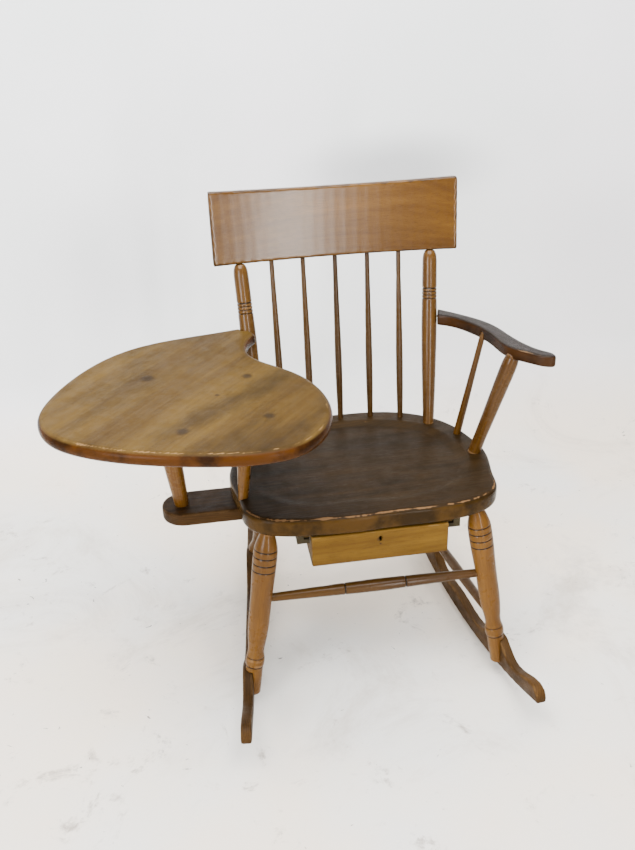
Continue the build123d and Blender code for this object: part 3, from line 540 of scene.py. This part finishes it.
def add_piece(name, mesh, nodes, materials):
    """Link a finished mesh, ride it on its CAD nodes' body and let it stand for them."""
    write_attribute(mesh, "tone", np.full(len(mesh.vertices), TONES.get(nodes[0], 0.0)))
    for face in mesh.polygons:
        face.use_smooth = True
    piece = bpy.data.objects.new(name, mesh)
    SCENE.collection.objects.link(piece)
    piece.data.materials.append(materials[SLOT_OF[nodes[0]]])
    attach(piece, BODY_OF[nodes[0]])
    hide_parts(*nodes)
    return piece


# ---------------------------------------------------------------- turned pieces

LATHE_STEP = 1.2 * MM
THICK_RADIUS = 9 * MM                    # turned pieces thicker than this get the finer rings
FINE_RING, PLAIN_RING = 40, 26           # points round a ring
LEVEL_REACH = 5                          # stations each side that a groove is measured against
GROOVE_FULL, BEAD_FULL = 0.7 * MM, 0.6 * MM
OUT_OF_ROUND = 0.006
KNOCK_DEPTH = 0.9 * MM


def turned_axis(node):
    """Start, direction and length of a turned CAD piece's axis, found from its own points."""
    points = cad_points(node)
    centre = points.mean(0)
    direction = np.linalg.svd(points - centre, full_matrices=False)[2][0]
    for _ in range(4):
        along = (points - centre) @ direction
        low, high = along.min(), along.max()
        across = np.linalg.svd(np.eye(3) - np.outer(direction, direction))[0][:, :2]
        middles = []
        edges = np.linspace(low + 0.30 * (high - low), low + 0.72 * (high - low), 7)
        for start, end in zip(edges, edges[1:]):
            part = points[(along >= start) & (along < end)] - centre
            if len(part) < 8:
                continue
            flat = part @ across
            middle = (flat.min(0) + flat.max(0)) / 2
            middles.append(centre + across @ middle + direction * (start + end) / 2)
        middles = np.array(middles)
        centre = middles.mean(0)
        direction = np.linalg.svd(middles - centre, full_matrices=False)[2][0]
    direction = direction * np.sign(direction[int(np.argmax(np.abs(direction)))])
    along = (points - centre) @ direction
    return centre + direction * along.min(), direction, along.max() - along.min()


def edge_samples(node, gap):
    """Points along every edge of a CAD mesh, no further apart than gap."""
    points, edges = cad_points(node), mesh_edges(NODES[node].data)
    first, second = points[edges[:, 0]], points[edges[:, 1]]
    counts = np.ceil(np.linalg.norm(second - first, axis=1) / gap).astype(int).clip(1)
    index = np.repeat(np.arange(len(edges)), counts)
    share = (np.arange(len(index)) - np.repeat(np.cumsum(counts) - counts, counts)) / counts[index]
    return first[index] + (second[index] - first[index]) * share[:, None]


def turned_radii(node, start, direction, length):
    """Stations along a turned piece and the outer radius at each."""
    points = edge_samples(node, LATHE_STEP / 2) - start
    along = points @ direction
    radius = np.linalg.norm(points - np.outer(along, direction), axis=1)
    count = int(length / LATHE_STEP) + 1
    slot = np.clip((along / length * (count - 1)).round().astype(int), 0, count - 1)
    radii = np.zeros(count)
    np.maximum.at(radii, slot, radius)
    known = radii > 0
    stations = np.linspace(0, length, count)
    return stations, np.interp(stations, stations[known], radii[known])


def shoulders(node, start, direction, stations, radii):
    """Radii cut down to the tenon's where the piece's upper end has entered its board."""
    if node not in UPPER_HOSTS:
        return radii
    board = cad_points(UPPER_HOSTS[node])
    end = start + direction * stations[-1]
    entry = board[np.abs(board[:, 0] - end[0]) < 25 * MM, 2].min()
    inside = start[2] + stations * direction[2] > entry + 0.4 * MM
    return np.where(inside, radii[-4], radii)


def turn_piece(node, seed):
    """A lathe mesh that follows a turned CAD piece: not quite round, knocked, grimy in its grooves."""
    start, direction, length = turned_axis(node)
    if direction[2] < 0:
        start, direction = start + direction * length, -direction
    stations, radii = turned_radii(node, start, direction, length)
    radii = shoulders(node, start, direction, stations, radii)
    span = 2 * LEVEL_REACH + 1
    level = np.convolve(np.pad(radii, LEVEL_REACH, mode="edge"), np.ones(span) / span, mode="valid")
    groove = np.clip((level - radii) / GROOVE_FULL, 0, 1)
    groove[(stations < 0.06 * length) | (stations > 0.97 * length)] = 0
    segments = FINE_RING if radii.max() > THICK_RADIUS else PLAIN_RING
    u = np.cross(direction, (0.3, 0.1, 0.95) if abs(direction[2]) < 0.8 else (0.0, 1.0, 0.1))
    u /= np.linalg.norm(u)
    v = np.cross(direction, u)
    angles = np.arange(segments) * 2 * math.pi / segments
    oval = radii[:, None] * (1 + OUT_OF_ROUND * np.cos(2 * angles + seed))
    across, over = np.cos(angles) * oval, np.sin(angles) * oval
    centres = start + stations[:, None] * direction
    points = centres[:, None] + across[..., None] * u + over[..., None] * v
    local = np.stack([across, over, np.broadcast_to(stations[:, None], across.shape)], 2)
    points, local = points.reshape(-1, 3), local.reshape(-1, 3)
    ring = np.arange(segments)
    base = (np.arange(len(stations) - 1) * segments)[:, None]
    corner = base + ring, base + (ring + 1) % segments
    sides = np.stack([corner[0], corner[1], corner[1] + segments, corner[0] + segments], 2)
    caps = [ring[::-1].tolist(), (len(points) - segments + ring).tolist()]
    mesh = bpy.data.meshes.new(node + "_turned")
    mesh.from_pydata(points.tolist(), [], sides.reshape(-1, 4).tolist() + caps)
    mesh.update()
    knocks = np.clip(rough_field(points, 38, seed) - 0.35, 0, 1)[:, None]
    write_points(mesh, points - knocks * mesh_normals(mesh) * KNOCK_DEPTH)
    write_attribute(mesh, "grain", local + np.array([seed * 0.31, seed * 0.17, seed * 0.9]))
    write_attribute(mesh, "grime", np.repeat(groove, segments))
    write_attribute(mesh, "edge", np.repeat(np.clip((radii - level) / BEAD_FULL, 0, 0.8), segments))
    return mesh


def lap_onto_rocker(mesh, rocker):
    """Flatten a leg's foot against its rocker's inner face."""
    board = cad_points(rocker)
    side = np.sign(board[:, 0].mean() - seat_front().x)
    points = mesh_points(mesh)
    foot = points[points[:, 2] < points[:, 2].min() + 0.02].mean(0)
    slope, offset = inner_face(board[:, 1], side * board[:, 0])
    pad_top = board[np.abs(board[:, 1] - foot[1]) < 0.02, 2].max()
    out = side * points[:, 0] - (slope * points[:, 1] + offset)
    low = (points[:, 2] < pad_top) & (out > 0)
    points[low, 0] -= side * out[low]
    write_points(mesh, points)


def inner_face(along, reach):
    """Slope and offset of the line that bounds a rocker's plan on its inner side."""
    bins = np.linspace(along.min(), along.max(), 12)
    middles = (bins[:-1] + bins[1:]) / 2
    slope = np.polyfit(along, reach, 1)[0]
    for _ in range(3):
        lean = reach - slope * along
        lows = [lean[(along >= a) & (along <= b)].min() for a, b in zip(bins, bins[1:])]
        slope += np.polyfit(middles, lows, 1)[0]
    offsets = np.sort(reach - slope * along)
    return slope, np.median(offsets[:40])


# ---------------------------------------------------------------- shaped boards

def remeshed(node, voxel, filled=()):
    """An even, fine mesh of a CAD board, with the sockets of the pieces named in filled closed up."""
    bm = bmesh.new()
    bm.from_mesh(NODES[node].data)
    bmesh.ops.remove_doubles(bm, verts=bm.verts, dist=1e-6)
    for other, top_end in filled:
        add_plug(bm, other, top_end)
    mesh = bpy.data.meshes.new(node + "_source")
    bm.to_mesh(mesh)
    bm.free()
    source = bpy.data.objects.new(node + "_source", mesh)
    SCENE.collection.objects.link(source)
    modifier = source.modifiers.new("even", "REMESH")
    modifier.mode = "VOXEL"
    modifier.voxel_size = voxel
    graph = bpy.context.evaluated_depsgraph_get()
    result = bpy.data.meshes.new_from_object(source.evaluated_get(graph))
    bpy.data.objects.remove(source)
    return result


def add_plug(bm, node, top_end):
    """A cylinder that fills a turned piece's socket and stops just short of its shoulder."""
    start, direction, length = turned_axis(node)
    stations, radii = turned_radii(node, start, direction, length)
    if top_end:
        stations, radii = length - stations[::-1], radii[::-1]
        start, direction = start + direction * length, -direction
    tenon = float(np.median(radii[(stations > 2 * MM) & (stations < 9 * MM)]))
    shoulder = stations[np.argmax(radii > tenon + 0.8 * MM)]
    low, high = -1.5 * MM, shoulder - 1.0 * MM
    middle = Vector(start + direction * (low + high) / 2)
    turn = Vector((0, 0, 1)).rotation_difference(Vector(direction)).to_matrix().to_4x4()
    bmesh.ops.create_cone(
        bm, cap_ends=True, segments=24, radius1=tenon + 1.2 * MM, radius2=tenon + 1.2 * MM,
        depth=high - low, matrix=Matrix.Translation(middle) @ turn,
    )


SOFTEN_PASSES = 3
WAVE_HEIGHT, EDGE_KNOCK = 0.14 * MM, 1.6 * MM


def wear_board(mesh, seed, grain, band):
    """Smooth a remeshed board, make it slightly uneven and write what its material reads.

    grain is the direction of the fibres.  band is None, or, for a board with rounded edges, the range
    of the normal's z in which its upper edge has worn and how much of that wear is left at the back;
    below that range the board keeps its darker flank.
    """
    points = smoothed(mesh_points(mesh), mesh_edges(mesh), SOFTEN_PASSES)
    write_points(mesh, points)
    curve = sharpness(mesh, 4, 0.45 * MM)
    crease = sharpness(mesh, 9, 0.7 * MM)
    edge = np.clip(curve, 0, 1)
    if band:
        rise = mesh_normals(mesh)[:, 2]
        low, high, fade = band
        edge = smooth_step(rise, low, low + 0.12) * (1 - smooth_step(rise, high - 0.02, high))
        edge *= smooth_step(curve, 0.02, 0.10) * near_front(points, fade)
        write_attribute(mesh, "flank", 1 - smooth_step(rise, low - 0.2, low + 0.1))
    waves = rough_field(points, 9, seed) * WAVE_HEIGHT
    knocks = np.clip(rough_field(points, 60, seed + 5) - 0.30, 0, 1) * EDGE_KNOCK * np.clip(edge, 0, 1)
    write_points(mesh, points + mesh_normals(mesh) * (waves - knocks)[:, None])
    along = Vector(grain).normalized()
    turn = along.rotation_difference(Vector((0, 0, 1))).to_matrix()
    shift = np.array([seed * 0.37, seed * 0.11, seed * 0.8])
    write_attribute(mesh, "grain", points @ np.array(turn).T + shift)
    write_attribute(mesh, "edge", edge)
    write_attribute(mesh, "grime", np.clip(-crease, 0, 1) * 0.8)


def near_front(points, fade):
    """1 along the front, falling to fade over the rest of a board, for wear that is worst in front."""
    share = (points[:, 1] - points[:, 1].min()) / np.ptp(points[:, 1])
    return fade + (1 - fade) * (1 - smooth_step(share, 0.10, 0.35))


def smooth_step(values, low, high):
    t = np.clip((values - low) / (high - low), 0, 1)
    return t * t * (3 - 2 * t)


FROM_BELOW = [
    *SPINDLES, *STILES, "arm_post", "arm_spindle", "tablet_post_inner", "tablet_spindle",
]
BOARDS = {
    # node: (voxel in mm, direction of the fibres, worn band, seed)
    "seat_plank": (3.0, (1, 0.05, 0), (0.72, 0.97, 0.25), 1),
    "writing_tablet": (3.0, (0.62, 0.78, 0), (0.84, 0.98, 0.75), 2),
    "crest_rail": (2.5, (1, 0, 0.01), None, 3),
    "armrest": (2.0, (0.35, -0.9, 0), (0.60, 0.92, 0.35), 4),
    "rocker_arm_side": (2.5, (0, 1, 0), None, 5),
    "rocker_tablet_side": (2.5, (0, 1, 0), None, 6),
    "tablet_outrigger": (2.5, (1, 0, 0), None, 7),
    "drawer_front": (1.5, (1, 0, 0.02), None, 8),
}
TURNED = [
    *SPINDLES, *STILES, "arm_post", "arm_spindle",
    "tablet_post_inner", "tablet_post_outer", "tablet_spindle",
    "front_stretcher", "rear_stretcher", *[f"side_stretcher_{side}" for side in SIDES], *LEGS,
]


# ---------------------------------------------------------------- making it

make_camera()
make_studio()
materials = make_materials()
for node, piece in NODES.items():
    piece.data.materials.clear()
    piece.data.materials.append(materials[SLOT_OF[node]])

for number, node in enumerate(TURNED):
    mesh = turn_piece(node, number + 1)
    if node in LEGS:
        lap_onto_rocker(mesh, LEGS[node])
    add_piece(node + "_turned", mesh, [node], materials)

for node, (voxel, grain, band, seed) in BOARDS.items():
    plugs = [(other, False) for other in FROM_BELOW] if node == "seat_plank" else []
    mesh = remeshed(node, voxel * MM, plugs)
    wear_board(mesh, seed, grain, band)
    add_piece(node + "_worn", mesh, [node], materials)
